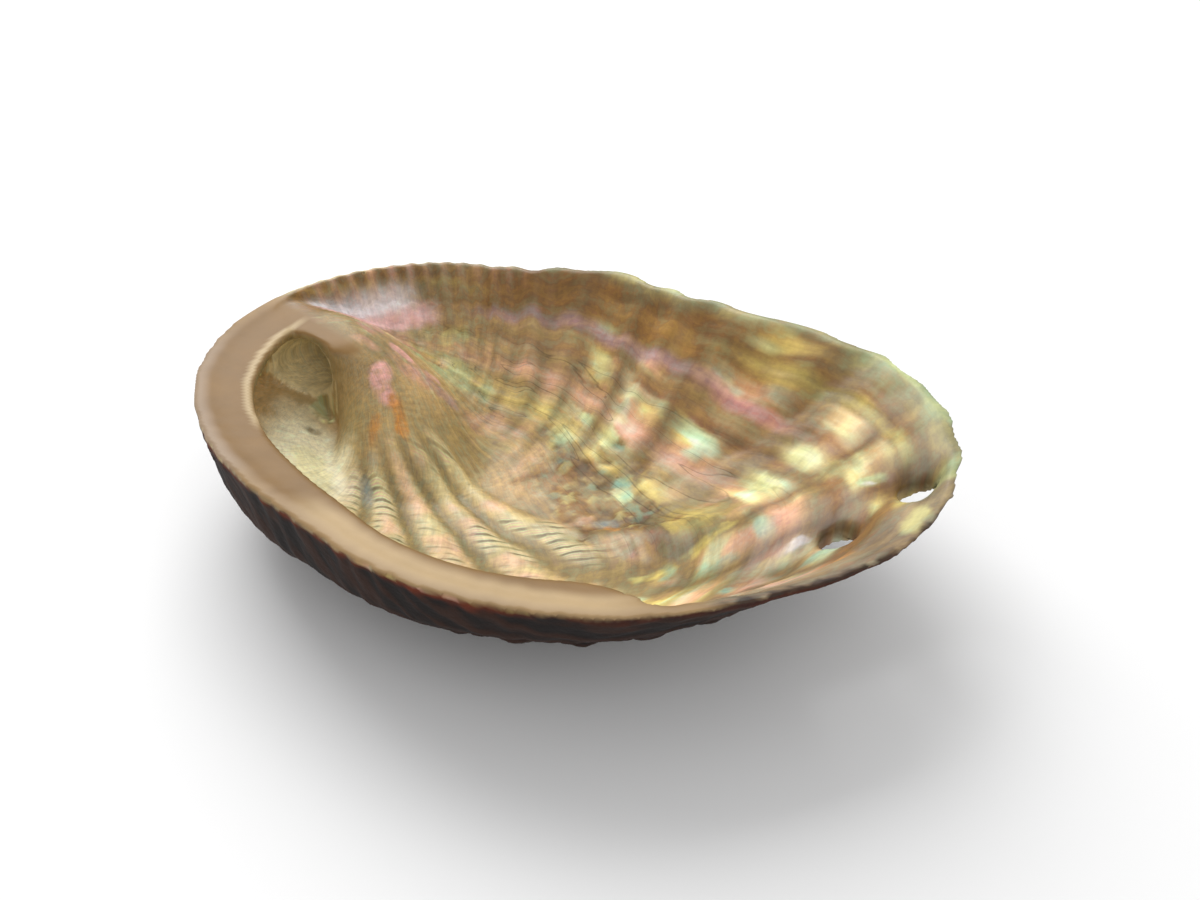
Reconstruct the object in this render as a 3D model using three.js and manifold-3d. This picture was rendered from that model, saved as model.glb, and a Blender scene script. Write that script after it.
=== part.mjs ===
// An abalone shell lying on its back with the opening upward.
// Millimetres, +Z up, +X along the length towards the growing end, +Y towards the free lip.
//
// The shell is worked out with its margin in the plane z = 0 and its bowl hanging below.
// At the end it is tipped into its resting attitude and set down on z = 0.

import * as THREE from 'three';
import { ParametricGeometry } from 'three/addons/geometries/ParametricGeometry.js';
import { mergeVertices } from 'three/addons/utils/BufferGeometryUtils.js';
import Module from 'manifold-3d';

// ---- driving dimensions ------------------------------------------------------------------

// Deepest point of the bowl. Every outline below is a ring of distances around it.
const CENTRE = new THREE.Vector2(-8, -2);
const BOWL_DEPTH = 28.5;

// Distance from the centre to the margin, one value per 20 degrees, counter-clockwise from +X.
const MARGIN = [
  70.5, 73.4, 68.3, 55.1, 47.9, 48.4, 46.1, 51.5, 55.5,
  57.0, 54.5, 49.3, 44.6, 42.6, 45.1, 49.4, 54.4, 61.2,
];

// The wall under the margin, one value per 45 degrees: how far the steep part reaches down,
// how steep it is, and how full the dome below it is.
const WALL_DEPTH = [2.0, 2.5, 3.0, 5.0, 11.0, 11.0, 9.0, 5.0];
const WALL_SLOPE = [0.56, 0.9, 1.3, 1.8, 4.0, 6.0, 6.0, 2.5];
const DOME_POWER = [1.95, 2.3, 2.5, 2.4, 2.2, 2.1, 2.0, 1.95];

const LIP_THICKNESS = 1.2;
const WALL_THICKNESS = 2.3;

// Scallops along the free lip, where the ribs of the outside run out.
const SCALLOP_HEIGHT = 0.7;
const SCALLOPS_PER_TURN = 36;

// The flat shelf along the inner side, one width per 45 degrees, and the arc it covers.
const SHELF_WIDTH = [4.0, 4.0, 4.0, 4.0, 9.4, 9.4, 7.4, 7.6];
const SHELF_ARC = [186, 322];
const SHELF_TAPER = 20;
const SHELF_UNDERSIDE = -3.4;
const SHELF_CREST = { inset: 2.0, height: 0.3 };
const SHELF_FALL = 7;

// The callus that closes the first coil: a low ridge running in from the lip beside the shelf.
const CALLUS = { x: -53, y: 3, top: -0.6, fall: 0.5, curve: 0.03, tip: 3, stretch: 1.25 };

// The first coil: a blind, narrowing passage that curls away behind the callus.
const COIL = [
  { at: [-43, -17, -9.6], radius: 6.0 },
  { at: [-48, -12, -9.4], radius: 5.8 },
  { at: [-52.5, -6.5, -9.2], radius: 5.4 },
  { at: [-54, 0, -9.2], radius: 4.8 },
  { at: [-52, 6, -9.6], radius: 4.2 },
  { at: [-47.5, 9, -10.4], radius: 3.4 },
  { at: [-43.5, 7.5, -11], radius: 2.6 },
];

// The breathing holes: one unfinished notch in the lip, two open holes, then the healed row.
const NOTCH = { x: 65, y: 24, radius: 2.6 };
const OPEN_HOLES = [
  { x: 57.5, y: 16, radius: 2.7 },
  { x: 50.5, y: 1.5, radius: 2.6 },
];
const HEALED_HOLES = [
  [45, -7.5], [39, -17], [32.5, -24.5], [24, -30], [15, -33.5], [5.5, -36], [-4, -37],
  [-13.5, -36.5], [-23, -35], [-32, -32], [-40, -28], [-47, -22.5],
];
const OPEN_RIM = { radius: 4.6, sunk: 2.0 };
const HEALED_RIM = { radius: 3.2, sunk: 1.7 };

// How the shell tips when it is laid down on its back, in degrees.
const REST_TILT = { x: 0.0, y: -1.3 };

// Facets.
const AROUND = 120;
const OUTSIDE_RINGS = 16;
const INSIDE_RINGS = 15;

// ---- the surfaces as heights over the plan -----------------------------------------------

// A closed, smooth curve through evenly spaced values.
function ring(values, angle) {
  const count = values.length;
  const place = ((angle / (2 * Math.PI)) * count + count) % count;
  const first = Math.floor(place);
  const t = place - first;
  const value = (offset) => values[(first + offset + count) % count];
  const [a, b, c, d] = [value(-1), value(0), value(1), value(2)];
  const square = 2 * a - 5 * b + 4 * c - d;
  const cube = 3 * b - a - 3 * c + d;
  return 0.5 * (2 * b + (c - a) * t + square * t * t + cube * t * t * t);
}

function smoothMax(a, b, width) {
  const overlap = Math.max(width - Math.abs(a - b), 0) / width;
  return Math.max(a, b) + (overlap * overlap * width) / 4;
}

// 1 inside an arc given in degrees, easing to 0 over the soft band on either side.
function arc(angle, from, to, soft) {
  const middle = (from + to) / 2;
  const degrees = THREE.MathUtils.radToDeg(angle) - middle;
  const away = Math.abs(THREE.MathUtils.euclideanModulo(degrees + 180, 360) - 180);
  return 1 - THREE.MathUtils.smoothstep(away, (to - from) / 2, (to - from) / 2 + soft);
}

function freeLip(angle) {
  return arc(angle, -15, 165, 25);
}

function marginAt(angle) {
  return ring(MARGIN, angle);
}

function scallopAt(angle) {
  return SCALLOP_HEIGHT * Math.cos(SCALLOPS_PER_TURN * angle) * arc(angle, 50, 140, 20);
}

function domeHeight(angle, reach) {
  const wall = ring(WALL_DEPTH, angle);
  return -wall - (BOWL_DEPTH - wall) * (1 - reach ** ring(DOME_POWER, angle));
}

// The outside: a dome that turns up into a steeper wall close to the margin.
function outsideHeight(angle, reach) {
  const inset = marginAt(angle) * (1 - reach);
  return smoothMax(domeHeight(angle, reach), -ring(WALL_SLOPE, angle) * inset, 4);
}

function callusHeight(x, y) {
  const pastEnd = Math.max(x - CALLUS.x, 0) / CALLUS.stretch;
  const away = Math.hypot(pastEnd, y - CALLUS.y, CALLUS.tip) - CALLUS.tip;
  return CALLUS.top - (CALLUS.fall + CALLUS.curve * away) * away;
}

// The inside: the same dome raised by the wall thickness, with the callus built up on it.
function insideHeight(angle, reach) {
  const inset = marginAt(angle) * (1 - reach);
  const thin = THREE.MathUtils.lerp(
    LIP_THICKNESS, WALL_THICKNESS, THREE.MathUtils.smoothstep(inset, 2, 18));
  const thickness = THREE.MathUtils.lerp(WALL_THICKNESS, thin, freeLip(angle));
  const slope = ring(WALL_SLOPE, angle);
  const wall = -slope * inset + thickness * Math.hypot(1, slope);
  const bowl = smoothMax(domeHeight(angle, reach) + 1.15 * thickness, wall, 6);
  const { x, y } = planPoint(angle, reach);
  return smoothMax(bowl, callusHeight(x, y), 4);
}

function planPoint(angle, reach) {
  const scallop = scallopAt(angle) * THREE.MathUtils.smoothstep(reach, 0.75, 1);
  const radius = marginAt(angle) * reach + scallop;
  const x = CENTRE.x + radius * Math.cos(angle);
  const y = CENTRE.y + radius * Math.sin(angle);
  return { x, y };
}

function outsideAt(x, y) {
  const angle = Math.atan2(y - CENTRE.y, x - CENTRE.x);
  const radius = Math.hypot(x - CENTRE.x, y - CENTRE.y);
  return outsideHeight(angle, radius / marginAt(angle));
}

// ---- solids ------------------------------------------------------------------------------

const { Manifold, Mesh } = await Module().then((module) => {
  module.setup();
  return module;
});

// A closed solid from a three.js geometry, placed by an optional matrix.
function solid(geometry, matrix = new THREE.Matrix4()) {
  const bare = geometry.clone().applyMatrix4(matrix);
  bare.deleteAttribute('normal');
  bare.deleteAttribute('uv');
  const merged = mergeVertices(bare, 1e-4);
  const kept = [];
  for (let i = 0; i < merged.index.count; i += 3) {
    const [a, b, c] = merged.index.array.slice(i, i + 3);
    if (a !== b && b !== c && c !== a) kept.push(a, b, c);
  }
  return new Manifold(new Mesh({
    numProp: 3,
    vertProperties: new Float32Array(merged.attributes.position.array),
    triVerts: new Uint32Array(kept),
  }));
}

// A surface that closes on itself: round in u, and pinched to a point at both ends of v.
function closedSurface(place, around, along) {
  return new ParametricGeometry((u, v, target) => place(u % 1, v, target), around, along);
}

// The outside dome, closed by a lid that is the top of the shelf: a bevel, then a slight fall.
function outsideBlank() {
  const lid = 1 / OUTSIDE_RINGS;
  return closedSurface((u, v, target) => {
    const angle = u * 2 * Math.PI;
    const step = Math.round((1 - v) / lid);
    if (step === 0) {
      target.set(CENTRE.x, CENTRE.y, SHELF_CREST.height - SHELF_FALL);
      return;
    }
    const crest = step === 1;
    const dome = Math.sin((v / (1 - 2 * lid)) * (Math.PI / 2));
    const reach = crest ? 1 - SHELF_CREST.inset / marginAt(angle) : dome;
    const { x, y } = planPoint(angle, reach);
    target.set(x, y, crest ? SHELF_CREST.height : outsideHeight(angle, reach));
  }, AROUND, OUTSIDE_RINGS);
}

// How far the bowl's wall reaches out at one angle before the underside of the shelf stops it,
// and the shelf's inner edge, both as shares of the way to the margin.
function underShelf(angle) {
  const here = arc(angle, ...SHELF_ARC, SHELF_TAPER);
  const ceiling = THREE.MathUtils.lerp(insideHeight(angle, 1), SHELF_UNDERSIDE, here);
  const edge = 1 - (here * ring(SHELF_WIDTH, angle)) / marginAt(angle);
  let wall = edge;
  while (wall < 1 && insideHeight(angle, wall) < ceiling) wall += 0.002;
  return { edge, wall: Math.min(wall, 1), ceiling };
}

// The hollow of the bowl: out under the shelf, back along its underside to its inner edge,
// then straight up and away.
function bowlHollow() {
  const above = 12;
  return closedSurface((u, v, target) => {
    const angle = u * 2 * Math.PI;
    const { edge, wall, ceiling } = underShelf(angle);
    const step = Math.round((1 - v) * INSIDE_RINGS);
    if (step === 0) {
      target.set(CENTRE.x, CENTRE.y, above);
      return;
    }
    const rings = INSIDE_RINGS - 3;
    const reach = step > 2 ? wall * Math.sin((INSIDE_RINGS - step) / rings * (Math.PI / 2)) : edge;
    const { x, y } = planPoint(angle, reach);
    const lip = Math.max(ceiling, insideHeight(angle, edge));
    const heights = [above, above, wall > edge ? ceiling : lip];
    target.set(x, y, step > 2 ? insideHeight(angle, reach) : heights[step]);
  }, AROUND, INSIDE_RINGS);
}

// The first coil: a tube along a curve, its radius easing from one station to the next.
function coilHollow() {
  const path = new THREE.CatmullRomCurve3(COIL.map(({ at }) => new THREE.Vector3(...at)));
  const rings = 20;
  const frames = path.computeFrenetFrames(rings);
  return closedSurface((u, v, target) => {
    const station = v * (COIL.length - 1);
    const before = COIL[Math.min(Math.floor(station), COIL.length - 2)].radius;
    const after = COIL[Math.min(Math.floor(station) + 1, COIL.length - 1)].radius;
    const open = THREE.MathUtils.lerp(before, after, station % 1);
    const rounded = Math.sqrt(Math.max(1 - (2 * v - 1) ** 8, 0));
    const angle = u * 2 * Math.PI;
    const frame = Math.round(v * rings);
    target.copy(path.getPoint(v));
    target.addScaledVector(frames.normals[frame], open * rounded * Math.cos(angle));
    target.addScaledVector(frames.binormals[frame], open * rounded * Math.sin(angle));
  }, 16, rings);
}

// A low round rim standing out of the underside, around a hole.
function rimAt(x, y, { radius, sunk }) {
  const place = new THREE.Matrix4().makeTranslation(x, y, outsideAt(x, y) + sunk);
  return solid(new THREE.SphereGeometry(radius, 12, 8), place);
}

function holeAt({ x, y, radius }) {
  const turn = new THREE.Matrix4().makeRotationX(Math.PI / 2);
  const place = new THREE.Matrix4().makeTranslation(x, y, outsideAt(x, y));
  return solid(new THREE.CylinderGeometry(radius, radius, 16, 24), place.multiply(turn));
}

// ---- assembly ----------------------------------------------------------------------------

const rims = [
  ...OPEN_HOLES.map(({ x, y }) => rimAt(x, y, OPEN_RIM)),
  ...HEALED_HOLES.map(([x, y]) => rimAt(x, y, HEALED_RIM)),
];
const cup = Manifold.union([solid(outsideBlank()), ...rims])
  .subtract(Manifold.union([solid(bowlHollow()), solid(coilHollow())]));
const shellBody = cup.subtract(Manifold.union([...OPEN_HOLES, NOTCH].map(holeAt)));

function settled(manifold) {
  const tilted = manifold.rotate([REST_TILT.x, REST_TILT.y, 0]);
  const { min, max } = tilted.boundingBox();
  return tilted.translate([-(min[0] + max[0]) / 2, -(min[1] + max[1]) / 2, -min[2]]);
}

function meshFrom(manifold, name, material) {
  const { vertProperties, triVerts } = manifold.getMesh();
  const geometry = new THREE.BufferGeometry();
  geometry.setAttribute('position', new THREE.BufferAttribute(vertProperties, 3));
  geometry.setIndex(new THREE.BufferAttribute(triVerts, 1));
  geometry.computeVertexNormals();
  const mesh = new THREE.Mesh(geometry, material);
  mesh.name = name;
  return mesh;
}

const nacre = new THREE.MeshStandardMaterial({ color: 0xb9ab92, roughness: 0.35 });
const part = new THREE.Group();
part.name = 'abalone_shell';
part.add(meshFrom(settled(shellBody), 'shell', nacre));
export default part;
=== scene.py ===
"""An abalone shell lying on its back, its pearly bowl upward.

The shell is worked out in millimetres with its margin in the plane z = 0 and its bowl hanging
below, as a solid between an outer and an inner height over the plan. It is meshed from that
solid, given its growth relief and coloured by where each point lies in the shell's own growth
coordinates. Then it is tipped into its resting attitude and set down on the floor.
"""

import math

import bpy
import numpy as np
from mathutils import Matrix, Vector


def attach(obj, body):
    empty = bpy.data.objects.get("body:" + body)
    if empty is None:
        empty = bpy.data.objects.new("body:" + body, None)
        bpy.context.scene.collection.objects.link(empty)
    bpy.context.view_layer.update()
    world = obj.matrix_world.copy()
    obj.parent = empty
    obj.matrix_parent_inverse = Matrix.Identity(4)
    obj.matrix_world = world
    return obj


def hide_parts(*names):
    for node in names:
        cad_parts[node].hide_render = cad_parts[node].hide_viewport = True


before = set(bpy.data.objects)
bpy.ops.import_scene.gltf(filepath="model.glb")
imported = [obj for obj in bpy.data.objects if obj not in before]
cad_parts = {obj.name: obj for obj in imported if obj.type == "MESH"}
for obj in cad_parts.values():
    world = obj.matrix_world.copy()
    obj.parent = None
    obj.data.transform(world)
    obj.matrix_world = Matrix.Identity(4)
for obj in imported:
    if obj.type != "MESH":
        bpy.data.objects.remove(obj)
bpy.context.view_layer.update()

MM = 0.001
PITCH = 0.66  # spacing of the meshing grid

# ---- driving dimensions, in millimetres and degrees ----------------------------------------

CENTRE = (-8.0, -2.0)  # deepest point of the bowl; the rings below are measured around it
BOWL_DEPTH = 28.5
# Distance from the centre to the margin, one value per 20 degrees, counter-clockwise from +X.
MARGIN = [
    70.5, 73.4, 68.3, 55.1, 47.9, 48.4, 46.1, 51.5, 55.5,
    57.0, 54.5, 49.3, 44.6, 42.6, 45.1, 49.4, 54.4, 61.2,
]
# The wall under the margin, one value per 45 degrees: how far the steep part reaches down,
# how steep it is, and how full the dome below it is.
WALL_DEPTH = [2.0, 2.5, 3.0, 5.0, 11.0, 11.0, 9.0, 5.0]
WALL_SLOPE = [0.56, 0.9, 1.3, 1.8, 4.0, 6.0, 6.0, 2.5]
DOME_POWER = [1.95, 2.3, 2.5, 2.4, 2.2, 2.1, 2.0, 1.95]
LIP_ALLOWANCE = 0.5  # makes up for what rounding takes off the thin lip
LIP_THICKNESS = 1.3
WALL_THICKNESS = 2.2

# One width per 45 degrees.
SHELF_WIDTH = [7.0, 4.0, 4.0, 4.0, 9.4, 9.3, 7.2, 8.2]
SHELF_UNDERSIDE = -2.9

CALLUS = (-53.0, 3.0)
APEX = (-48.0, -3.0)  # where the coil began: growth swings out from here
SWING = 1.07  # radians that the lip turns while it grows by a factor e
CROSS_LEAN = math.radians(31)  # the direction of the close lines that cross the folds
CROSS_PERIOD = 1.75  # how far apart the lines are in the relief
CROSS_DENSITY = 3100  # and how close they are in the colour, in radians per metre
FOLD_FOCUS = (-47.0, 6.0)  # the soft folds of the floor fan out from here

# The pocket: the places and radii of the balls that hollow it out.
COIL = [
    (-43.0, -17.0, -8.9, 7.2), (-48.0, -12.0, -8.7, 6.8), (-52.5, -6.5, -8.6, 6.2),
    (-54.0, 0.0, -8.8, 5.4), (-52.0, 6.0, -9.2, 4.6), (-47.5, 9.0, -9.8, 3.8),
    (-43.5, 7.5, -10.4, 3.0), (-42.0, 4.0, -11.0, 2.2),
]
NOTCH = (65.6, 22.4)
OPEN_HOLES = [(58.0, 14.8, 2.8), (50.8, 1.0, 2.7)]
HEALED_HOLES = [
    (45, -7.5), (39, -17), (32.5, -24.5), (24, -30), (15, -33.5), (5.5, -36), (-4, -37),
    (-13.5, -36.5), (-23, -35), (-32, -32), (-40, -28), (-47, -22.5),
]

# How the model's own frame sits in the part's frame.
REST_TILT = math.radians(-1.3)
REST_SHIFT = (0.607, -0.04, 28.893)


# ---- small numeric helpers -----------------------------------------------------------------

def ring(values, angle):
    """A closed smooth curve through evenly spaced values."""
    values = np.asarray(values, float)
    count = len(values)
    place = (angle / (2 * np.pi) * count) % count
    first = np.floor(place).astype(int)
    t = place - first
    a, b, c, d = (values[(first + k) % count] for k in (-1, 0, 1, 2))
    square = 2 * a - 5 * b + 4 * c - d
    cube = 3 * b - a - 3 * c + d
    return 0.5 * (2 * b + (c - a) * t + square * t**2 + cube * t**3)


def step(low, high, x):
    t = np.clip((x - low) / (high - low), 0, 1)
    return t * t * (3 - 2 * t)


def smooth_max(a, b, width):
    overlap = np.maximum(width - np.abs(a - b), 0) / width
    return np.maximum(a, b) + overlap**2 * width / 4


def smooth_min(a, b, width):
    return -smooth_max(-a, -b, width)


def bell(x, width):
    return np.exp(-((x / width) ** 2))


def arc(angle, start, end, soft):
    """1 inside an arc given in degrees, easing to 0 over the soft band on either side."""
    away = np.abs((np.degrees(angle) - (start + end) / 2 + 180) % 360 - 180)
    half = (end - start) / 2
    return 1 - step(half, half + soft, away)


def lattice_noise(points, scale, seed):
    """Smooth noise from -1 to 1 over points of any dimension up to three."""
    table = np.random.default_rng(seed).uniform(-1, 1, (64, 64, 64))
    place = np.zeros((len(points), 3))
    place[:, :points.shape[1]] = points / np.asarray(scale)
    cell = np.floor(place).astype(int)
    t = place - cell
    t = t * t * (3 - 2 * t)
    total = 0
    for corner in np.ndindex(2, 2, 2):
        weight = np.prod(np.where(corner, t, 1 - t), axis=1)
        i, j, k = ((cell + corner) % 64).T
        total = total + weight * table[i, j, k]
    return total


def rough_noise(points, scale, seed, octaves=3):
    """Several octaves of lattice noise."""
    scale = np.asarray(scale, float)
    layers = (0.55**n * lattice_noise(points, scale / 2**n, seed + n) for n in range(octaves))
    return sum(layers)


# ---- the shell as heights over the plan ----------------------------------------------------

def polar(x, y):
    dx, dy = x - CENTRE[0], y - CENTRE[1]
    return np.hypot(dx, dy), np.arctan2(dy, dx)


def scallops(angle):
    """How far the free lip waves in and out: small serrations by the spire, broad ones beyond."""
    fine = 0.30 * np.sin(angle * 95) * arc(angle, 128, 160, 8)
    broad = 0.65 * np.sin(angle * 27 + 1.1 * np.sin(angle * 9)) * arc(angle, 40, 122, 12)
    end = 0.35 * np.sin(angle * 41 + 0.6) * arc(angle, 12, 40, 6)
    near = 0.12 * np.sin(angle * 50 + 2 * np.sin(angle * 13)) * arc(angle, 190, 350, 10)
    return fine + broad + end + near


def margin(angle):
    allowance = LIP_ALLOWANCE * (1 + 2.4 * arc(angle, -38, 22, 22))
    return ring(MARGIN, angle) + allowance + scallops(angle)


def hole_row():
    """The line of the holes, oldest last, as points every millimetre or so."""
    knots = np.array([NOTCH] + [h[:2] for h in OPEN_HOLES] + HEALED_HOLES, float)
    places = np.linspace(0, len(knots) - 1, 160)
    return np.stack([np.interp(places, range(len(knots)), knots[:, k]) for k in (0, 1)], 1)


def distance_to_row(x, y):
    line = hole_row()
    best = np.full(np.shape(x), 1e9)
    for px, py in line:
        best = np.minimum(best, np.hypot(x - px, y - py))
    return best


def bumps(x, y, places, width):
    return sum(bell(np.hypot(x - px, y - py), width) for px, py in places)


def dome(angle, reach, raised=0.0):
    wall = ring(WALL_DEPTH, angle)
    return raised - wall - (BOWL_DEPTH - wall) * (1 - reach ** ring(DOME_POWER, angle))


def outer_form(x, y):
    """The outer height without its hole row."""
    radius, angle = polar(x, y)
    rim = margin(angle)
    reach = np.clip(radius / rim, 0, 1.2)
    wall = -ring(WALL_SLOPE, angle) * (rim - radius)
    return smooth_max(dome(angle, reach), wall, 4.0)


def callus(x, y):
    """The low ridge that closes the first coil, from the lip to just behind the shelf."""
    past_end = np.maximum(x - CALLUS[0], 0) / 1.25
    away = np.sqrt(past_end**2 + (y - CALLUS[1]) ** 2 + 9) - 3
    return -0.5 - (0.45 + 0.03 * away) * away


def behind_mouth(x, y):
    """1 behind the edge of the coil's mouth, a sharp arch that softens towards the floor."""
    mouth = -1.0 - 0.05 * (x + 51) ** 2
    soft = 0.4 + 1.3 * np.maximum(x + 46.5, 0)
    return step(-soft, soft, y - mouth)


def inner_form(x, y):
    """The inner height without its hole row."""
    radius, angle = polar(x, y)
    rim = margin(angle)
    reach = np.clip(radius / rim, 0, 1.2)
    inset = rim - radius
    thin = LIP_THICKNESS + (WALL_THICKNESS - LIP_THICKNESS) * step(2, 18, inset)
    lip = arc(angle, -15, 165, 25)
    thickness = WALL_THICKNESS + (thin - WALL_THICKNESS) * lip
    slope = ring(WALL_SLOPE, angle)
    wall = -slope * inset + thickness * np.sqrt(1 + slope**2)
    bowl = smooth_max(dome(angle, reach, 1.15 * thickness), wall, 6.0)
    raised = smooth_max(bowl, callus(x, y), 5.0) - bowl
    return bowl + raised * behind_mouth(x, y)


def steepness(form, x, y):
    """How much longer a surface is than its plan."""
    h = 0.25
    along = (form(x + h, y) - form(x - h, y)) / (2 * h)
    across = (form(x, y + h) - form(x, y - h)) / (2 * h)
    return np.sqrt(1 + along**2 + across**2)


def shelf_top(inset):
    return 0.3 * bell(inset - 2.2, 1.6) - 0.13 * inset


def shelf_run(angle):
    """1 along the shelf, starting quickly at the callus and tapering slowly at the far end."""
    return np.minimum(arc(angle, 181, 360, 14), arc(angle, 90, 316, 28))


def shell_solid(x, y, z):
    """Below zero inside the shell. x and y are a plan grid, z is a list of heights."""
    radius, angle = polar(x, y)
    inset = margin(angle) - radius
    row = distance_to_row(x, y)
    near_row = step(-8, 2, x - 8)
    off_lip = step(0.5, 5.0, inset)
    funnels = 4.4 * bumps(x, y, [OPEN_HOLES[0][:2]], 4.8) + 3.2 * bumps(x, y, [OPEN_HOLES[1][:2]], 4.8)
    funnels = funnels * off_lip
    outer = outer_form(x, y) - funnels
    outer = outer - 1.7 * bumps(x, y, HEALED_HOLES, 3.3) - 0.9 * bell(row, 4.5) * off_lip
    inner = inner_form(x, y) - 0.74 * funnels
    inner = inner - 1.6 * bumps(x, y, HEALED_HOLES[:1], 4.8) - 0.9 * bell(row, 4.0) * near_row * off_lip
    outer_scale = steepness(outer_form, x, y)[..., None]
    inner_scale = steepness(inner_form, x, y)[..., None]

    body = (outer[..., None] - z) / outer_scale
    body = smooth_max(body, z - shelf_top(inset)[..., None], 0.6)
    hollow = (inner[..., None] - z) / inner_scale

    shelf_on = shelf_run(angle)
    width = 3.0 + (ring(SHELF_WIDTH, angle) - 3.0) * shelf_on
    past_edge = (ring(MARGIN, angle) - radius - width)[..., None]
    shelf = np.maximum(past_edge, SHELF_UNDERSIDE - z) + 8 * (1 - shelf_on)[..., None]

    coil = np.full(hollow.shape, 1e9)
    stations = np.array(COIL)
    places = np.linspace(0, len(stations) - 1, 40)
    path = [np.interp(places, range(len(stations)), stations[:, k]) for k in range(4)]
    for cx, cy, cz, size in zip(*path):
        plan = ((x - cx) ** 2 + (y - cy) ** 2)[..., None]
        coil = np.minimum(coil, np.sqrt(plan + (z - cz) ** 2) - size)

    void = smooth_max(smooth_min(hollow, coil, 1.2), -shelf, 0.8)
    solid = smooth_max(body, -void, 0.6)
    lean = np.array([0.05, 0.25, 1.0])
    lean = lean / np.linalg.norm(lean)
    for hx, hy, size in OPEN_HOLES:
        level = float(outer_form(np.array([hx]), np.array([hy]))[0]) - 3.0
        px, py, pz = (x - hx)[..., None], (y - hy)[..., None], z - level
        along = px * lean[0] + py * lean[1] + pz * lean[2]
        across = np.sqrt(np.maximum(px**2 + py**2 + pz**2 - along**2, 0))
        solid = smooth_max(solid, size - across, 0.6)
    bite = np.sqrt(((x - NOTCH[0]) ** 2 + (y - NOTCH[1]) ** 2)[..., None] + 0.6 * (z + 1) ** 2)
    return smooth_max(solid, 2.4 - bite, 0.8)


# ---- meshing -------------------------------------------------------------------------------

def surface_net(field, origin, pitch):
    """Vertices and quads of the zero surface of a field sampled on a grid."""
    cells = np.array(field.shape) - 1
    total = np.zeros((*cells, 3))
    count = np.zeros(cells)

    def corner(offset):
        return field[tuple(slice(o, o + n) for o, n in zip(offset, cells))]

    for start in np.ndindex(2, 2, 2):
        for axis in range(3):
            if start[axis]:
                continue
            end = list(start)
            end[axis] = 1
            a, b = corner(start), corner(end)
            cross = (a < 0) != (b < 0)
            t = np.where(cross, a / np.where(cross, a - b, 1), 0)
            for k in range(3):
                total[..., k] += np.where(cross, start[k] + (t if k == axis else 0), 0)
            count += cross
    active = count > 0
    index = np.full(active.shape, -1)
    index[active] = np.arange(active.sum())
    mean = total[active] / count[active][:, None]
    vertices = (np.argwhere(active) + mean) * pitch + origin

    quads = []
    for axis in range(3):
        a = np.moveaxis(field, axis, 0)[:-1]
        b = np.moveaxis(field, axis, 0)[1:]
        edges = np.argwhere(np.moveaxis((a < 0) != (b < 0), 0, axis))
        u, v = (axis + 1) % 3, (axis + 2) % 3
        inside = (edges[:, u] > 0) & (edges[:, v] > 0) & (edges < active.shape).all(1)
        edges = edges[inside]
        negative = field[tuple(edges.T)] < 0
        around = []
        for du, dv in ((0, 0), (-1, 0), (-1, -1), (0, -1)):
            cell = edges.copy()
            cell[:, u] += du
            cell[:, v] += dv
            around.append(index[tuple(cell.T)])
        quad = np.stack(around, 1)
        quad[~negative] = quad[~negative][:, ::-1]
        quads.append(quad)
    return vertices, np.concatenate(quads)


def relax(vertices, quads, rounds, share=0.5):
    """Evens the mesh out by moving each vertex towards the mean of its neighbours."""
    count = np.bincount(quads.ravel(), minlength=len(vertices))[:, None] * 2
    for _ in range(rounds):
        total = np.zeros_like(vertices)
        for k in range(4):
            for n in (1, 3):
                np.add.at(total, quads[:, k], vertices[quads[:, (k + n) % 4]])
        vertices = vertices + share * (total / count - vertices)
    return vertices


def sample(field, origin, pitch, points):
    """The field at points, and its gradient, by trilinear interpolation."""
    place = (points - origin) / pitch
    cell = np.clip(np.floor(place).astype(int), 0, np.array(field.shape) - 2)
    t = place - cell
    value = 0
    slope = np.zeros_like(points)
    for offset in np.ndindex(2, 2, 2):
        f = field[tuple((cell + offset).T)]
        w = np.where(offset, t, 1 - t)
        value = value + f * w.prod(1)
        for k in range(3):
            others = w[:, (k + 1) % 3] * w[:, (k + 2) % 3]
            slope[:, k] += f * others * (1 if offset[k] else -1) / pitch
    return value, slope


def shell_mesh():
    xs = np.arange(-70, 70, PITCH)
    ys = np.arange(-52, 52, PITCH)
    zs = np.arange(-BOWL_DEPTH - 4, 3, PITCH)
    origin = np.array([xs[0], ys[0], zs[0]])
    x, y = np.meshgrid(xs, ys, indexing="ij")
    field = shell_solid(x, y, zs)
    vertices, quads = surface_net(field, origin, PITCH)
    for _ in range(3):
        vertices = relax(vertices, quads, 1)
        value, slope = sample(field, origin, PITCH, vertices)
        size = np.maximum((slope**2).sum(1), 0.2)
        vertices = vertices - 0.8 * (value / size)[:, None] * slope
    return vertices, quads


def vertex_normals(vertices, quads):
    a, b, c, d = (vertices[quads[:, k]] for k in range(4))
    face = np.cross(c - a, d - b)
    total = np.zeros_like(vertices)
    for k in range(4):
        np.add.at(total, quads[:, k], face)
    return total / np.maximum(np.linalg.norm(total, axis=1), 1e-9)[:, None]


# ---- growth coordinates --------------------------------------------------------------------

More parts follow.
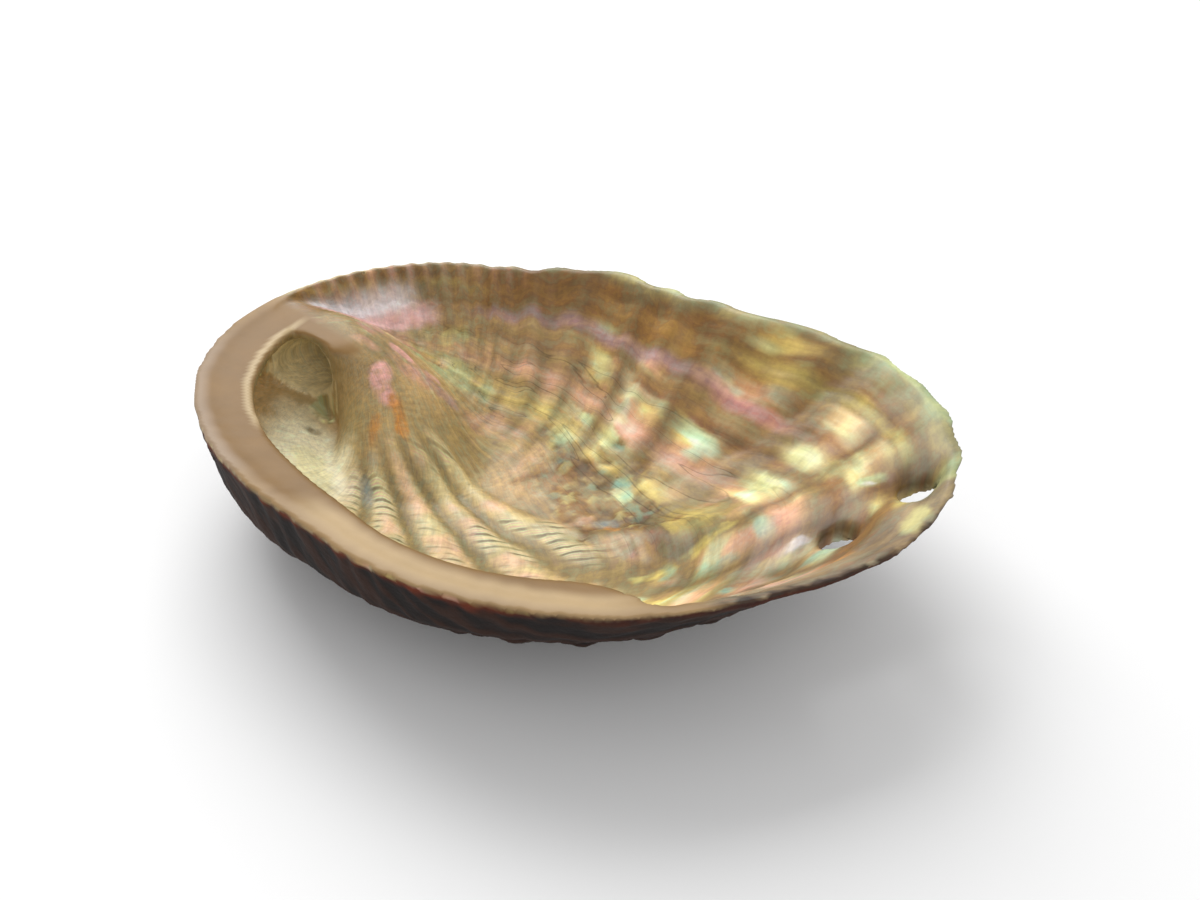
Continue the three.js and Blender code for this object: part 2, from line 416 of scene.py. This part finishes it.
def growth(x, y):
    """(age, cord): age is how much smaller the shell was when its lip stood here, as a natural
    logarithm, and cord is the angle, in degrees, of the same point of the lip today."""
    dx, dy = x - APEX[0], y - APEX[1]
    distance = np.maximum(np.hypot(dx, dy), 0.5)
    angle = np.arctan2(dy, dx)
    lip_angles = np.linspace(0, 2 * np.pi, 721)
    turn = np.linspace(0, 2 * np.pi, 1441)
    rim = margin(turn) - scallops(turn)
    px = CENTRE[0] + rim * np.cos(turn) - APEX[0]
    py = CENTRE[1] + rim * np.sin(turn) - APEX[1]
    lip_angle = np.unwrap(np.arctan2(py, px))
    lip_angle = lip_angle - 2 * np.pi * math.floor(lip_angle[0] / (2 * np.pi) + 0.5)
    order = np.argsort(lip_angle % (2 * np.pi))
    lip = np.interp(
        lip_angles, (lip_angle % (2 * np.pi))[order], np.hypot(px, py)[order], period=2 * np.pi)
    age = np.zeros_like(distance)
    found = np.zeros(distance.shape, bool)
    before = np.log(distance / np.interp(angle % (2 * np.pi), lip_angles, lip))
    for trial in np.arange(0.02, 3.2, 0.02):
        reach = np.interp((angle + SWING * trial) % (2 * np.pi), lip_angles, lip)
        after = np.log(distance / reach) + trial
        hit = (after >= 0) & ~found
        share = np.where(hit, before / np.where(hit, before - after, 1), 0)
        age = np.where(hit, trial - 0.02 * (1 - np.clip(share, 0, 1)), age)
        found |= hit
        before = after
    cord = np.degrees(angle + SWING * age)
    return age, cord


# ---- building the piece --------------------------------------------------------------------

def to_part_frame(points):
    """From the model's own millimetres to the part's frame in metres."""
    turn = np.array(Matrix.Rotation(REST_TILT, 3, "Y"))
    return (points @ turn.T + REST_SHIFT) * MM


vertices, quads = shell_mesh()
plan_x, plan_y, height = vertices.T
radius, angle = polar(plan_x, plan_y)
inset = margin(angle) - radius
age, cord = growth(plan_x, plan_y)
grown = np.stack([age, cord / 100], 1)  # the two growth coordinates, for stretched noise

# Which surface each vertex is on: the outside, the shelf's top, or else the pearly inside.
outer_gap = (height - outer_form(plan_x, plan_y)) / steepness(outer_form, plan_x, plan_y)
top_gap = np.abs(height - shelf_top(inset))
first_normals = vertex_normals(vertices, quads)
under = step(0.35, -0.15, first_normals[:, 2])
outside = under * step(3.2, 1.4, outer_gap)
shelf_zone = step(0.15, 0.6, shelf_run(angle)) * step(1.5, 0.7, top_gap) * (1 - outside)
shelf_zone = shelf_zone * step(0.1, 0.5, first_normals[:, 2])
nacre_zone = (1 - outside) * (1 - shelf_zone)


# ---- patterns ------------------------------------------------------------------------------

def plan_noise(scale, seed, octaves=3):
    return rough_noise(vertices, (scale, scale, scale), seed, octaves)


def grown_noise(age_scale, cord_scale, seed, octaves=3):
    return rough_noise(grown, (age_scale, cord_scale / 100), seed, octaves)


def spot(x, y, long, wide, lean=0.0, ragged=0.35, seed=0):
    """A soft-edged patch over the plan, with a ragged outline."""
    lean = math.radians(lean)
    along = (plan_x - x) * math.cos(lean) + (plan_y - y) * math.sin(lean)
    across = (plan_y - y) * math.cos(lean) - (plan_x - x) * math.sin(lean)
    size = np.hypot(along / long, across / wide) + ragged * plan_noise(3.5, 300 + seed, 2)
    return step(1.15, 0.55, size)


def band(low, high, soft, values):
    return step(low - soft, low + soft, values) * step(high + soft, high - soft, values)


# Growth fronts run along the lip and cords run across it: together they make a loose plaid.
wander = grown_noise(0.22, 26, 11)
front_wave = np.cos(2 * np.pi * (age / 0.064) + 2.6 * wander)
cord_step = cord / 9 + np.maximum(cord - 58, 0) / 9
cord_wave = np.cos(2 * np.pi * cord_step + 1.5 * grown_noise(0.6, 14, 21))
fronts = 0.5 + 0.5 * front_wave
cords = np.sqrt(0.5 + 0.5 * cord_wave)
fine_lines = grown_noise(0.010, 26, 31, 3)
fine_cords = grown_noise(0.30, 1.6, 35, 2)
streaks = grown_noise(0.05, 10, 41, 3)
right_side = step(70, 40, cord) * step(0.60, 0.40, age)

# The floor's soft folds, which fan out from the spire, and the close lines that cross them.
fold_x, fold_y = plan_x - FOLD_FOCUS[0], plan_y - FOLD_FOCUS[1]
fold_angle = np.degrees(np.arctan2(fold_y, fold_x)) + 2.5 * plan_noise(14, 51, 2)
fold_reach = np.hypot(fold_x, fold_y)
folds = 0.5 + 0.5 * np.cos(2 * np.pi * (fold_angle + 34.3) / 11.7)
fold_zone = band(-58, -6, 5, fold_angle) * band(21, 60, 5, fold_reach) * step(-5, -9, height)
cross = -plan_x * math.sin(CROSS_LEAN) + plan_y * math.cos(CROSS_LEAN)
cross_lines = 0.5 + 0.5 * np.cos(2 * np.pi * cross / CROSS_PERIOD + 3.0 * plan_noise(5, 61, 2))
cross_zone = fold_zone * step(0.20, 0.60, folds) * step(-0.45, 0.1, plan_noise(7, 65, 2))

# Small ribs along the free lip beside the spire.
rib_zone = (0.35 * arc(angle, 122, 150, 6) + 0.65 * arc(angle, 146, 172, 5)) * step(4.6, 1.2, inset)
rib_zone = rib_zone * nacre_zone
ribs = 0.5 + 0.5 * np.cos(angle * 96 + 1.2 * plan_noise(9, 71, 2))

scar = spot(1, 11, 18, 10, -25, 0.5, 1)
flakes = plan_noise(2.2, 81, 2)

# ---- relief --------------------------------------------------------------------------------

inner_relief = 0.12 * front_wave * step(0.03, 0.1, age) * step(0.55, 0.35, age)
inner_relief = inner_relief + 0.16 * cord_wave * (0.25 + 0.75 * right_side) * step(0.5, 0.3, age)
inner_relief = inner_relief + (0.08 * fine_lines + 0.06 * streaks) * step(0.9, 0.5, age)
inner_relief = inner_relief * (1 - 0.8 * fold_zone)
inner_relief = inner_relief + 1.0 * folds * fold_zone + 0.10 * cross_lines * cross_zone
inner_relief = inner_relief + 0.42 * flakes * scar + 0.14 * ribs * rib_zone

outer_lines = grown_noise(0.03, 40, 91, 4)
outer_cords = np.cos(2 * np.pi * cord / 5.5 + 2 * grown_noise(0.4, 18, 101))
crust = plan_noise(3.2, 111, 3)
outer_relief = 0.30 * outer_lines + 0.15 * outer_cords * step(1.6, 0.6, age) + 0.28 * crust
outer_relief = np.maximum(outer_relief, -0.2) * (0.35 + 0.65 * step(0.5, 9, inset))
knob = 2.2 * bell(np.sqrt((plan_x + 57.5) ** 2 + (plan_y + 27) ** 2 + (height + 7) ** 2), 3.0)
outer_relief = outer_relief + knob

rim_fade = step(0.3, 3.0, inset)
from_holes = np.min([np.hypot(plan_x - x, plan_y - y) for x, y, _ in OPEN_HOLES], 0)
off_holes = step(4, 7, from_holes)
relief = nacre_zone * inner_relief * rim_fade + outside * outer_relief * off_holes
vertices = vertices + relief[:, None] * first_normals
placed = to_part_frame(vertices)
placed[:, 2] -= placed[:, 2].min()

mesh = bpy.data.meshes.new("shell_surface")
mesh.from_pydata(placed.tolist(), [], quads.tolist())
mesh.update()
mesh.polygons.foreach_set("use_smooth", [True] * len(mesh.polygons))
shell = bpy.data.objects.new("abalone_shell", mesh)
bpy.context.scene.collection.objects.link(shell)

# ---- colours -------------------------------------------------------------------------------

def shade(red, green, blue):
    """An 8-bit display colour as linear light."""
    c = np.array([red, green, blue]) / 255
    return np.where(c <= 0.04045, c / 12.92, ((c + 0.055) / 1.055) ** 2.4)


OLIVE = shade(150, 134, 104)
OLIVE_DARK = shade(112, 102, 78)
GREY_GREEN = shade(172, 172, 138)
TAN = shade(172, 148, 116)
BROWN = shade(140, 108, 76)
BROWN_DARK = shade(98, 76, 54)
RED_BROWN = shade(150, 112, 92)
PINK = shade(222, 176, 164)
ROSE = shade(206, 156, 160)
BRIGHT_PINK = shade(240, 190, 188)
ORANGE = shade(218, 158, 106)
YELLOW = shade(218, 204, 140)
LEMON = shade(226, 222, 168)
PALE_GREEN = shade(192, 208, 168)
TEAL = shade(150, 196, 180)
BLUE_GREY = shade(146, 160, 166)
MAUVE = shade(178, 150, 156)
WHITE = shade(244, 238, 242)
CREAM = shade(214, 206, 170)
SHELF_TAN = shade(147, 116, 76)
SHELF_PALE = shade(184, 156, 120)
SHELF_GREY = shade(168, 158, 154)
CRUST = shade(46, 26, 17)
CRUST_DARK = shade(17, 9, 7)
CRUST_RED = shade(120, 50, 24)

colour = OLIVE + (TAN - OLIVE) * step(-0.6, 0.6, plan_noise(13, 131, 2))[:, None]


def lay(paint, weight):
    """Paints over the colour so far, by a weight at each vertex."""
    global colour
    colour = colour + (paint - colour) * np.clip(weight, 0, 1)[:, None]


def gain(amount):
    """Brightens or darkens the colour so far."""
    global colour
    colour = colour * np.maximum(amount, 0)[:, None]


# Rows of colour that follow the growth fronts inward from the lip.
ROWS = [
    (0.000, GREY_GREEN), (0.026, OLIVE), (0.048, BROWN), (0.062, YELLOW), (0.078, BROWN),
    (0.100, BROWN), (0.118, RED_BROWN), (0.134, TAN), (0.160, RED_BROWN), (0.185, OLIVE),
    (0.230, PINK), (0.262, OLIVE), (0.320, YELLOW), (0.370, OLIVE),
]
row_age = age + 0.007 * grown_noise(0.09, 11, 141) + 0.004 * fine_cords
row_places = [place for place, _ in ROWS]
rows = np.stack([np.interp(row_age, row_places, [c[k] for _, c in ROWS]) for k in range(3)], 1)
lay(rows, 0.75 * step(0.42, 0.32, age) * (0.45 + 0.55 * right_side))

# Bright cells between the cords, each of one colour and streaked along the fronts.
cells = cords * step(-0.35, 0.45, grown_noise(0.030, 9, 151, 2))
lit = cells * right_side
warm = grown_noise(0.045, 8, 161, 2)
lay(YELLOW, 0.70 * lit * step(0.0, 0.5, warm))
lay(PINK, 0.65 * lit * step(-0.05, -0.5, warm))
lay(LEMON, 0.50 * lit * band(4, 32, 4, cord) * step(0.20, 0.12, age))
lay(PALE_GREEN, 0.75 * lit * step(0.15, 0.55, grown_noise(0.04, 6, 171, 2)))
lay(TEAL, 0.65 * lit * step(0.35, 0.7, grown_noise(0.03, 4, 181, 2)) * step(0.04, 0.09, age))
lay(BROWN_DARK, 0.50 * (1 - cords) * (0.25 + 0.75 * right_side) * step(0.5, 0.3, age))
for bar in (28.0, 37.0):
    lay(OLIVE_DARK, 0.60 * bell(cord - bar - 14 * age, 1.5) * band(0.0, 0.20, 0.04, age))
lay(BROWN, 0.30 * (1 - fronts) * right_side)

middle = band(0.20, 0.55, 0.06, age) * band(22, 80, 10, cord)
lay(PINK, 0.45 * middle * cords * step(-0.1, 0.4, plan_noise(8, 311, 2)))
lay(OLIVE_DARK, 0.60 * middle * (1 - cords) * (0.6 + 0.4 * fronts))

# The far wall: a brown band of painted shade, where the wall faces away from the light, then a lavender
# streak that turns pink towards the growing end.
far_wall = band(37, 78, 7, cord)
lay(BROWN, 0.90 * band(0.018, 0.092, 0.010, row_age) * far_wall)
lay(MAUVE, 0.70 * band(0.098, 0.118, 0.008, row_age) * far_wall * (0.55 + 0.45 * cords))
lay(ROSE, 0.60 * band(0.108, 0.126, 0.007, row_age) * band(31, 38, 3, cord))
lay(GREY_GREEN, 0.60 * arc(angle, 8, 40, 8) * step(8.0, 3.0, inset + 1.2 * streaks))
lay(PALE_GREEN, 0.60 * arc(angle, 8, 40, 8) * step(8.0, 3.0, inset) * step(0.1, 0.5, warm))
lay(GREY_GREEN, 0.55 * arc(angle, 52, 96, 8) * step(3.6, 1.6, inset + 0.6 * streaks))
lay(LEMON, 0.50 * arc(angle, 40, 75, 8) * band(0.8, 2.6, 0.5, inset) * step(0.1, 0.5, streaks))
spire_wall = step(72, 90, cord) * step(0.9, 0.7, age) * step(6, 12, inset)
lay(TAN, 0.55 * spire_wall * step(-0.3, 0.5, streaks))
lay(ROSE, 0.45 * spire_wall * step(0.1, 0.6, plan_noise(6, 191, 2)))
lay(PALE_GREEN, 0.40 * spire_wall * step(0.25, 0.6, grown_noise(0.04, 14, 201, 2)))

# The lip beside the spire: ribs, then a white satin band with a pink lower edge.
lay(WHITE, 0.95 * arc(angle, 150, 172, 7) * band(2.6, 5.4, 0.8, inset) * nacre_zone)
lay(shade(240, 204, 206), 0.85 * arc(angle, 146, 170, 7) * band(5.0, 7.4, 0.8, inset) * nacre_zone)
# Painted highlight and shade on the ribs: pink along their crests, brown in the hollows between them.
lay(PINK, 0.75 * rib_zone * ribs**2)
lay(BROWN, 0.80 * rib_zone * (1 - ribs))
lay(SHELF_TAN, 0.85 * arc(angle, 170, 190, 4) * step(11, 8, inset) * step(-3.0, -1.6, height) * nacre_zone)

# The floor's folds, with painted highlights and shade: cream along their crests and dark olive in the
# hollows between them.
lay(CREAM, 0.50 * fold_zone * folds)
lay(PINK, 0.45 * fold_zone * folds * step(0.0, 0.5, plan_noise(6, 291, 2)))
lay(ROSE, 0.45 * cross_zone * step(0.3, 0.6, plan_noise(5, 221, 2)))
lay(OLIVE_DARK, 0.75 * fold_zone * step(0.45, 0.05, folds))

# Painted light: the deep floor is brightened the lower it lies, and the right side a little overall. Two
# broad soft patches of the floor are darkened.
gain(1 + 0.42 * nacre_zone * step(-4, -13, height))
gain(1 + 0.12 * right_side)
gain(1 - 0.42 * spot(31, -4, 22, 13, -25, 0.2, 11))
gain(1 - 0.20 * spot(8, 2, 16, 12, -25, 0.2, 12))

# The rough scar in the middle, its coloured flakes, and the dull zone beside it.
lay(BROWN, 0.80 * scar * step(-0.45, 0.2, plan_noise(5, 231, 3)))
lay(BROWN_DARK, 0.60 * scar * step(-0.1, -0.45, flakes))
lay(LEMON, 0.40 * scar * step(0.55, 0.75, flakes))
lay(TEAL, 0.35 * scar * step(0.5, 0.8, plan_noise(2.4, 241, 2)))
lay(OLIVE, 0.90 * spot(15, -10, 17, 6, -12, 0.3, 3))
# Painted light: pale cream on the upward-facing floor at the pocket's mouth.
lay(shade(250, 242, 214), 0.95 * spot(-44, -15, 15, 9, -42, 0.15, 4) * step(0.3, 0.8, first_normals[:, 2]))
# Painted light: pale cream inside the pocket, below the bowl's inner surface, where it lies in shade.
pocket_painted_light = step(-1.2, -2.4, height - inner_form(plan_x, plan_y)) * step(-28, -34, plan_x)
lay(shade(236, 222, 186), 0.9 * pocket_painted_light * nacre_zone)
lay(LEMON, 0.35 * spot(-41, -17, 8, 4, -35, 0.3, 9))
flecks = step(-0.5, 0.3, plan_noise(1.5, 281, 2))
PATCHES = [  # paint, weight, then the place, length, width and lean of a spot
    (BRIGHT_PINK, 0.9, (-51.7, 12.4, 3.6, 1.2, 30)),
    (LEMON, 0.7, (-45.6, 15.0, 3.2, 1.2, 25)),
    (PALE_GREEN, 0.7, (-41.5, 16.5, 3.2, 1.3, 20)),
    (BRIGHT_PINK, 0.8, (-38.9, 11.0, 3.6, 1.8, 25)),
    (OLIVE_DARK, 0.7, (-48.0, 1.5, 3.4, 1.8, -45)),
    (PINK, 0.5, (-44.0, 5.0, 2.6, 0.9, 20)),
    (MAUVE, 0.6, (-34.2, 10.7, 4.5, 2.0, 20)),
    (LEMON, 0.6, (-40.5, 25.0, 3.0, 1.5, 25)),
    (BRIGHT_PINK, 0.9, (-37.5, 1.0, 3.6, 2.0, -40)),
    (BROWN_DARK, 0.8, (-48.6, -7.6, 1.6, 0.9, 30)),
    (PINK, 0.6, (-36.0, 8.5, 5.0, 2.6, 30)),
    (PALE_GREEN, 0.6, (-34.0, 19.5, 6.0, 2.2, 15)),
    (PINK, 0.6, (-46.0, 16.0, 6.0, 1.8, 30)),
    (BLUE_GREY, 0.5, (-31.0, -13.0, 5.0, 1.8, -50)),
    (PINK, 0.4, (-24.0, 16.0, 7.0, 3.0, 20)),
    (ORANGE, 0.8, (-32.5, -1.2, 2.8, 1.2, -35)),
    (ORANGE, 0.6, (-35.0, -6.5, 3.6, 1.3, -70)),
    (TEAL, 0.8, (6.5, 13.5, 3.6, 1.6, -50)),
    (BLUE_GREY, 0.8, (8.0, 4.5, 2.6, 1.5, -30)),
    (ORANGE, 0.8, (10.0, 2.5, 1.8, 1.0, -30)),
    (YELLOW, 0.8, (24.0, -9.5, 3.0, 1.6, 60)),
    (TEAL, 0.8, (39.5, -14.5, 2.2, 1.2, 50)),
    # Painted highlights: pale green and white glints on the crests beside the open holes.
    (PALE_GREEN, 0.8, (50.5, 14.8, 2.4, 1.3, 60)),
    (WHITE, 0.7, (50.8, 14.2, 1.2, 0.8, 60)),
    (WHITE, 0.8, (45.0, -1.0, 2.6, 1.2, 60)),
    (YELLOW, 0.7, (30.0, 0.5, 5.0, 1.8, 65)),
    (LEMON, 0.4, (43.0, 19.5, 6.0, 3.5, 20)),
]
for index, (paint, weight, place) in enumerate(PATCHES):
    lay(paint, weight * spot(*place, 0.6, index) * nacre_zone * (0.5 + 0.5 * flecks))

# Painted shade in the funnels around the open holes and the first healed one, set towards their far sides;
# then the band between them and the lip.
to_row = distance_to_row(plan_x, plan_y)
funnel_shade_places = [(x - 1.2, y + 2.2) for x, y, _ in OPEN_HOLES]
funnels = bumps(plan_x, plan_y, funnel_shade_places, 3.8)
funnels = funnels + 0.8 * bumps(plan_x, plan_y, HEALED_HOLES[:1], 3.2)
lay(BROWN_DARK, 0.90 * np.clip(1.3 * funnels, 0, 1) * nacre_zone)
strip = nacre_zone * arc(angle, -38, 16, 6) * step(9.5, 6.5, inset) * step(2.0, 4.0, to_row)
lay(shade(150, 132, 114), 0.90 * strip)
lay(shade(120, 106, 92), 0.50 * strip * step(0.0, 0.5, streaks))
lay(PINK, 0.50 * strip * spot(50, -14, 7, 1.8, 62, 0.35, 13))
lay(ORANGE, 0.55 * strip * spot(54, -8, 5, 1.5, 62, 0.35, 5))
lay(LEMON, 0.70 * strip * spot(61.8, 4, 4.5, 1.8, 80, 0.35, 6))
speckle = step(1.8, 0.9, inset + 0.8 * plan_noise(1.6, 271, 2))
lay(CRUST, 0.95 * nacre_zone * arc(angle, -42, 4, 6) * speckle)

gain(1 + 0.12 * fine_lines + 0.07 * fine_cords * (0.5 + 0.5 * right_side) + 0.08 * streaks)
gain(1 + 0.42 * (lit - 0.30) * step(0.5, 0.3, age))

# The shelf: even and satin, paler and pinker towards its outer bevel.
shelf_colour = SHELF_TAN + (SHELF_PALE - SHELF_TAN) * (0.7 * step(3.0, 0.6, inset))[:, None]
shelf_mottle = 0.82 + 0.06 * plan_noise(9, 251, 3) + 0.03 * plan_noise(1.4, 255, 1)
shelf_colour = shelf_colour * shelf_mottle[:, None]
lay(shelf_colour, shelf_zone)
lay(shade(198, 174, 138), 0.8 * shelf_zone * arc(angle, 262, 318, 14) * band(1.5, 6, 1.5, inset))
lay(SHELF_GREY, 0.3 * shelf_zone * arc(angle, 196, 230, 12) * step(3.4, 1.0, inset))
# Painted highlight: a pale thin line along the shelf's inner edge by the pocket.
lay(shade(214, 194, 158), 0.7 * shelf_zone * arc(angle, 180, 215, 8) * band(8.6, 9.8, 0.3, inset))

# The outside: dark, rough and reddish, with a red line where it meets the lip.
crust_mix = step(-0.5, 0.7, outer_lines + 0.6 * crust)
crust_zone = outside * (0.15 + 0.85 * step(3.4, 4.6, from_holes))
lay(CRUST_DARK + (CRUST - CRUST_DARK) * crust_mix[:, None], crust_zone)
red_edge = step(-2.0, -0.4, height + 0.8 * plan_noise(2.5, 261, 2))
lay(CRUST_RED, 0.6 * crust_zone * (1 - 0.7 * arc(angle, -50, 20, 10)) * red_edge)
colour = np.clip(colour, 0.002, 0.95)


def attribute(name, values):
    layer = mesh.attributes.new(name, "FLOAT", "POINT")
    layer.data.foreach_set("value", np.asarray(values, np.float32))


def colour_attribute(name, values):
    layer = mesh.color_attributes.new(name, "FLOAT_COLOR", "POINT")
    layer.data.foreach_set("color", np.c_[values, np.ones(len(values))].astype(np.float32).ravel())


# Where thin dark outlines show, at the edges of the newest pearly layers.
outlined = nacre_zone * np.clip(
    band(0.16, 0.45, 0.05, age) * band(25, 95, 10, cord) + spot(-20, 24, 22, 5, 20, 0.3, 7)
    + spot(-42, 12, 14, 8, 20, 0.3, 14)
    + 0.8 * spot(15, 10, 9, 8, 0, 0.3, 8), 0, 1)

colour_attribute("pearl", colour)
attribute("age", age)
attribute("cord", cord / 100)
attribute("outside", outside)
attribute("shelf", shelf_zone)
attribute("rough_patch", scar)
attribute("outlined", outlined)
attribute("striped", cross_zone * nacre_zone)

# ---- material ------------------------------------------------------------------------------

material = bpy.data.materials.new("shell")
material.use_nodes = True
tree = material.node_tree
surface = tree.nodes["Principled BSDF"]


def node(kind, inputs=(), **settings):
    """A shader node, with its inputs set or linked by name or number."""
    made = tree.nodes.new(kind)
    for key, value in settings.items():
        setattr(made, key, value)
    for key, value in dict(inputs).items():
        if isinstance(value, bpy.types.NodeSocket):
            tree.links.new(value, made.inputs[key])
        else:
            made.inputs[key].default_value = value
    return made


def math_node(operation, *values):
    return node("ShaderNodeMath", enumerate(values), operation=operation).outputs[0]


def weighted(first, *terms):
    """The first value plus each (value, weight)."""
    for value, weight in terms:
        first = math_node("ADD", first, math_node("MULTIPLY", value, weight))
    return first


def read(name):
    return node("ShaderNodeAttribute", attribute_name=name).outputs["Fac"]


def ramp(value, low, high):
    inputs = {"Value": value, "From Min": low, "From Max": high}
    return node("ShaderNodeMapRange", inputs).outputs["Result"]


def noise(vector, scale, detail=3.0, roughness=0.55):
    inputs = {"Vector": vector, "Scale": scale, "Detail": detail, "Roughness": roughness}
    return node("ShaderNodeTexNoise", inputs).outputs["Fac"]


def grown_vector(age_scale, cord_scale):
    return node("ShaderNodeCombineXYZ", {
        0: math_node("MULTIPLY", age_in, age_scale), 1: math_node("MULTIPLY", cord_in, cord_scale),
    }).outputs[0]


position = node("ShaderNodeTexCoord").outputs["Object"]
age_in, cord_in = read("age"), read("cord")
outside_in, shelf_in, scar_in = read("outside"), read("shelf"), read("rough_patch")
nacre_in = math_node("SUBTRACT", math_node("SUBTRACT", 1.0, outside_in), shelf_in)
front_lines = noise(grown_vector(60.0, 9.0), 1.0, 5.0, 0.65)
cord_lines = noise(grown_vector(10.0, 60.0), 1.0, 4.0, 0.65)
grain = noise(position, 900.0, 3.0)
mottle = noise(position, 260.0, 4.0, 0.6)

# Thin dark outlines where one pearly layer ends on another, and a few dark pits.
outline = math_node("ABSOLUTE", math_node("SUBTRACT", noise(grown_vector(18.0, 3.0), 1.0, 1.5), 0.5))
outline = math_node("MULTIPLY", ramp(outline, 0.008, 0.0), read("outlined"))
pits = node("ShaderNodeTexVoronoi", {"Vector": position, "Scale": 90.0}).outputs["Distance"]
pits = math_node("MULTIPLY", ramp(pits, 0.035, 0.015), nacre_in)

value = weighted(
    0.45, (ramp(front_lines, 0.25, 0.75), 0.38), (ramp(cord_lines, 0.25, 0.75), 0.34),
    (ramp(mottle, 0.2, 0.8), 0.36), (outline, -0.40), (pits, -0.35))
even = weighted(0.94, (ramp(mottle, 0.2, 0.8), 0.12))
value_mix = node("ShaderNodeMix", {0: nacre_in, 2: even, 3: value}).outputs[0]


def colour_ramp(value, colours):
    """A run of evenly spaced colours."""
    made = node("ShaderNodeValToRGB", {"Fac": value})
    stops = made.color_ramp.elements
    while len(stops) < len(colours):
        stops.new(1.0)
    for index, paint in enumerate(colours):
        stops[index].position = index / (len(colours) - 1)
        stops[index].color = (*paint, 1)
    return made.outputs["Color"]


def mixed(kind, share, first, second):
    made = node("ShaderNodeMix", data_type="RGBA", blend_type=kind)
    for key, value in ((0, share), (6, first), (7, second)):
        tree.links.new(value, made.inputs[key])
    return made.outputs[2]


# Close bright and dark lines across the folds, and a fine play of colour all over the pearl.
line_run = node("ShaderNodeVectorMath", {
    0: position,
    1: (-CROSS_DENSITY * math.sin(CROSS_LEAN), CROSS_DENSITY * math.cos(CROSS_LEAN), 0),
}, operation="DOT_PRODUCT").outputs["Value"]
line_run = weighted(line_run, (noise(position, 120.0, 3.0), 8.0))
line_level = ramp(math_node("SINE", line_run), -1.0, 1.0)
stripe_run = [shade(110, 102, 78), OLIVE, PALE_GREEN, LEMON, CREAM, PINK, LEMON]
stripes = colour_ramp(line_level, stripe_run)
play_level = ramp(noise(grown_vector(26.0, 22.0), 1.0, 4.0, 0.65), 0.28, 0.72)
play = colour_ramp(play_level, [MAUVE, TAN, YELLOW, OLIVE, TEAL, TAN, PINK])
play_share = math_node("MULTIPLY", nacre_in, 0.38)
painted = node("ShaderNodeVertexColor", layer_name="pearl").outputs["Color"]
played = mixed("SOFT_LIGHT", play_share, painted, play)
stripe_patches = ramp(noise(position, 200.0, 2.0), 0.30, 0.50)
stripe_share = math_node("MULTIPLY", read("striped"), math_node("MULTIPLY", stripe_patches, 0.85))
striped = mixed("MIX", stripe_share, played, stripes)
final = node("ShaderNodeHueSaturation", {
    "Saturation": 1.12, "Value": value_mix, "Color": striped,
}).outputs["Color"]
tree.links.new(final, surface.inputs["Base Color"])

roughness = weighted(0.38, (shelf_in, 0.06), (outside_in, 0.47), (scar_in, 0.12))
tree.links.new(roughness, surface.inputs["Roughness"])
surface.inputs["Specular IOR Level"].default_value = 0.35

line_bump = math_node("MULTIPLY", front_lines, nacre_in)
bump_height = weighted(0.0, (line_bump, 0.6), (grain, 0.15), (outline, -0.3), (pits, -0.5))
bump_height = weighted(bump_height, (math_node("MULTIPLY", grain, outside_in), 1.2))
bump = node("ShaderNodeBump", {"Height": bump_height, "Strength": 0.30, "Distance": 0.0004})
tree.links.new(bump.outputs["Normal"], surface.inputs["Normal"])
mesh.materials.append(material)

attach(shell, "root")
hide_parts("shell")

# ---- floor, light and camera ---------------------------------------------------------------

floor_mesh = bpy.data.meshes.new("floor")
floor_mesh.from_pydata([(-3, -3, 0), (3, -3, 0), (3, 3, 0), (-3, 3, 0)], [], [(0, 1, 2, 3)])
floor = bpy.data.objects.new("floor", floor_mesh)
bpy.context.scene.collection.objects.link(floor)
pale = bpy.data.materials.new("pale_floor")
pale.use_nodes = True
pale.node_tree.nodes["Principled BSDF"].inputs["Base Color"].default_value = (0.93, 0.93, 0.93, 1)
pale.node_tree.nodes["Principled BSDF"].inputs["Roughness"].default_value = 0.8
floor_mesh.materials.append(pale)

world = bpy.data.worlds.new("studio")
world.use_nodes = True
world.node_tree.nodes["Background"].inputs["Color"].default_value = (1, 1, 1, 1)
world.node_tree.nodes["Background"].inputs["Strength"].default_value = 0.62
bpy.context.scene.world = world


def soft_light(name, place, size, power):
    light = bpy.data.lights.new(name, "AREA")
    light.size = size
    light.energy = power
    holder = bpy.data.objects.new(name, light)
    bpy.context.scene.collection.objects.link(holder)
    holder.location = place
    holder.rotation_euler = (-Vector(place)).to_track_quat("-Z", "Y").to_euler()


soft_light("key", (-0.40, 0.30, 0.60), 0.6, 4.6)
soft_light("fill", (0.5, -0.4, 0.60), 0.7, 0.9)

CAMERA_AZIMUTH = math.radians(31)
CAMERA_ELEVATION = math.radians(36)
CAMERA_PLACE = (98.4, -148.6, 120.9)  # in the model's own frame
LENS = 39.0

bpy.context.scene.view_settings.view_transform = "Standard"

lens = bpy.data.cameras.new("camera")
lens.sensor_width = 36
lens.lens = LENS
lens.clip_start = 0.01
camera = bpy.data.objects.new("camera", lens)
bpy.context.scene.collection.objects.link(camera)
forward = Vector((
    -math.sin(CAMERA_AZIMUTH) * math.cos(CAMERA_ELEVATION),
    math.cos(CAMERA_AZIMUTH) * math.cos(CAMERA_ELEVATION),
    -math.sin(CAMERA_ELEVATION),
))
tilt = Matrix.Rotation(REST_TILT, 3, "Y")
right = forward.cross(Vector((0, 0, 1))).normalized()
axes = Matrix((right, right.cross(forward), -forward)).transposed()
camera.matrix_world = (tilt @ axes).to_4x4()
camera.location = to_part_frame(np.array([CAMERA_PLACE]))[0]
bpy.context.scene.camera = camera
